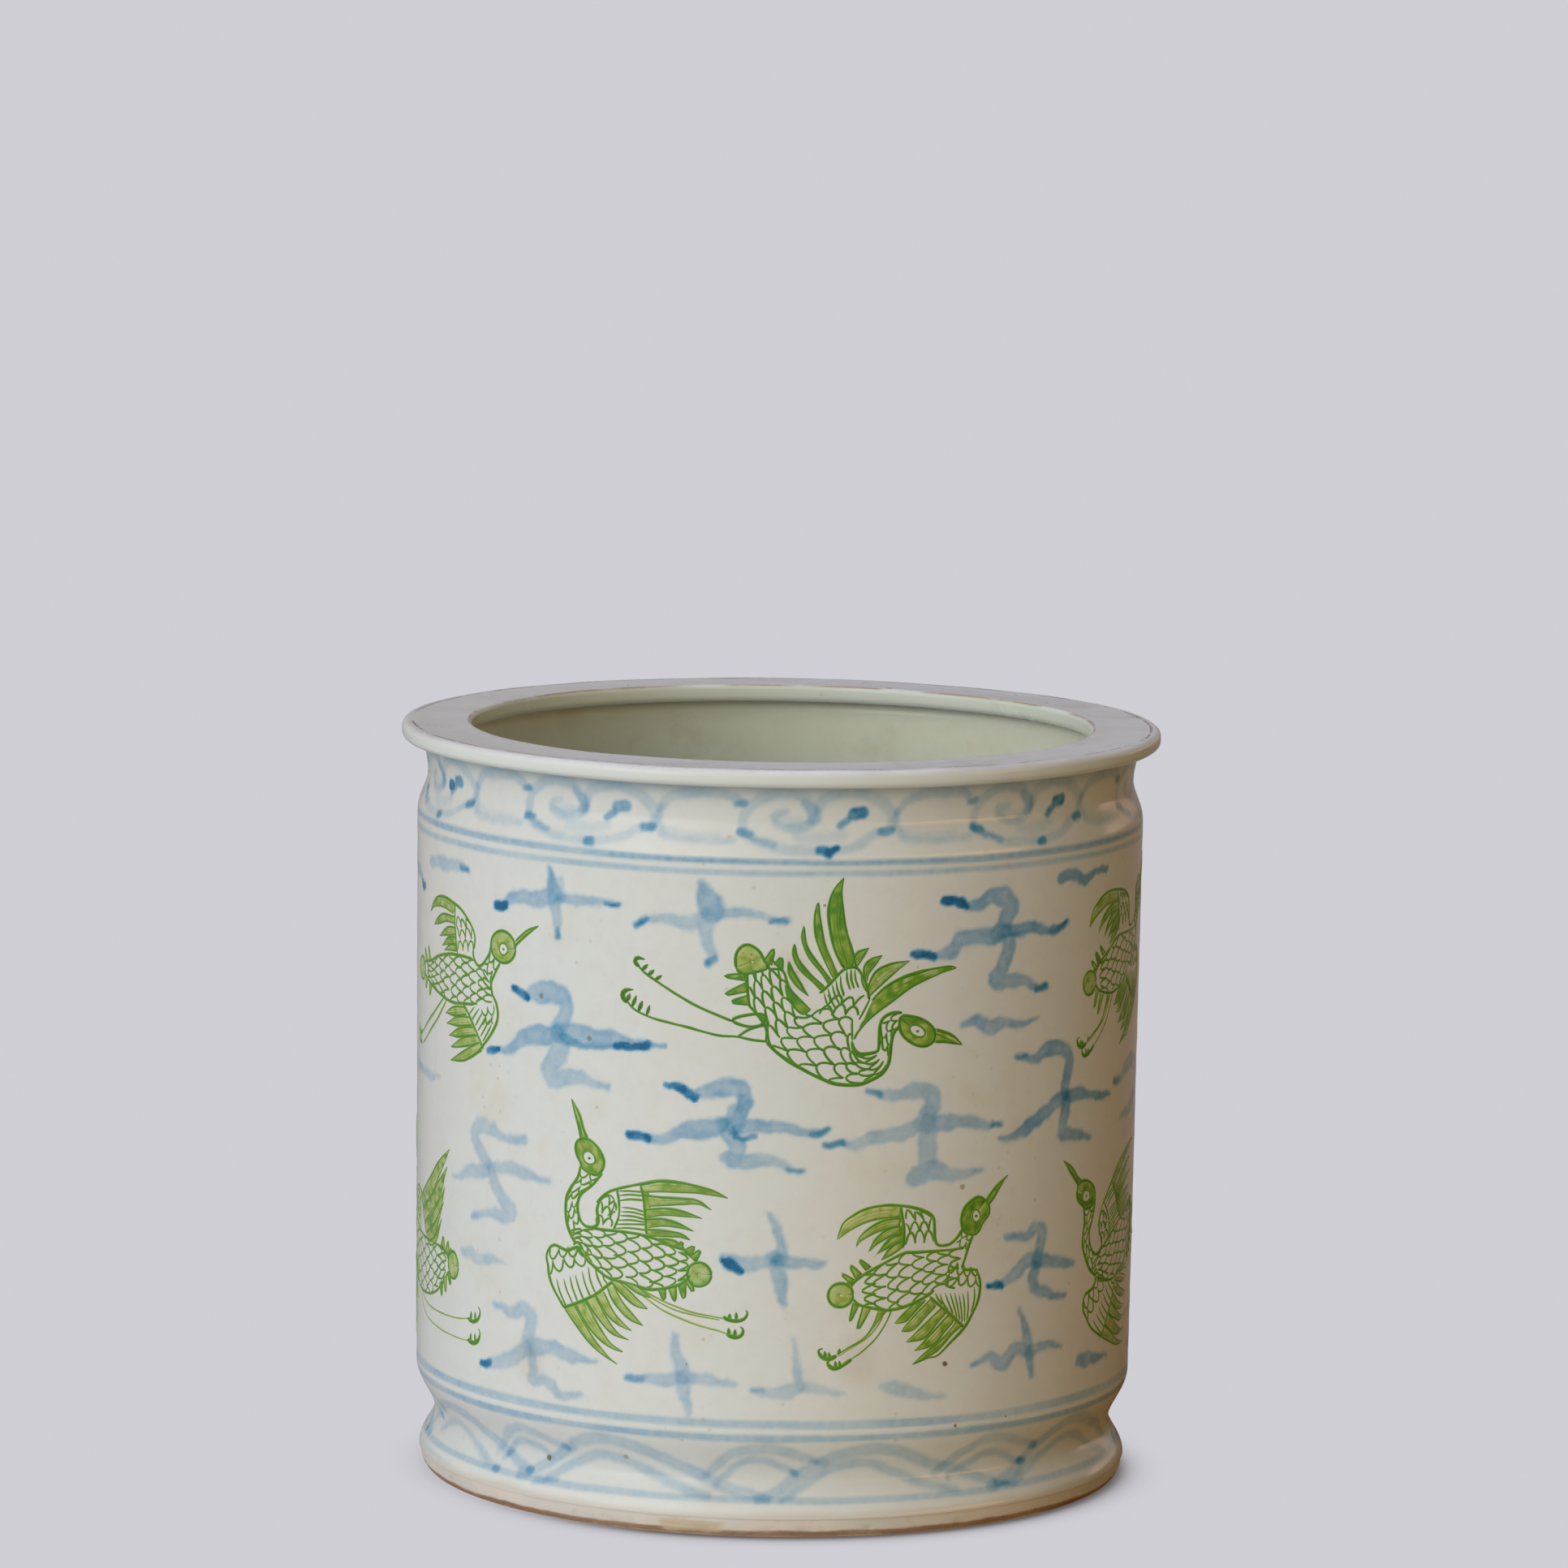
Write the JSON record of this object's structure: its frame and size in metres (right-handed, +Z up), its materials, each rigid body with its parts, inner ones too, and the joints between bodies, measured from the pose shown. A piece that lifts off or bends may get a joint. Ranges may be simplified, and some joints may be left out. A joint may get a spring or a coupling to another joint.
{
  "type": "brush pot",
  "caption": "Round porcelain pot with a flat mouth flange, waisted neck and moulded foot, painted with flying cranes and clouds, that holds writing brushes upright on a desk.",
  "frame": {"origin": "centre of the resting plane, on the pot's axis", "axes": "+Z up along the pot's axis; the side painted with the large diving crane faces -Y"},
  "size_m": [0.19, 0.19, 0.1884],
  "materials": {
    "porcelain_body": "matte",
    "bare_foot": "matte",
    "white_glaze": "gloss",
    "rim_glaze": "satin",
    "inside_glaze": "gloss",
    "green_enamel": "gloss"
  },
  "bodies": {
    "root": {"rim_flange": "porcelain_body", "body_wall": "porcelain_body", "foot_ring": "bare_foot", "base_slab": "bare_foot", "rim_glaze": "rim_glaze", "outer_glaze": "white_glaze", "inner_glaze": "inside_glaze", "crane_enamels": "green_enamel"}
  },
  "joints": []
}
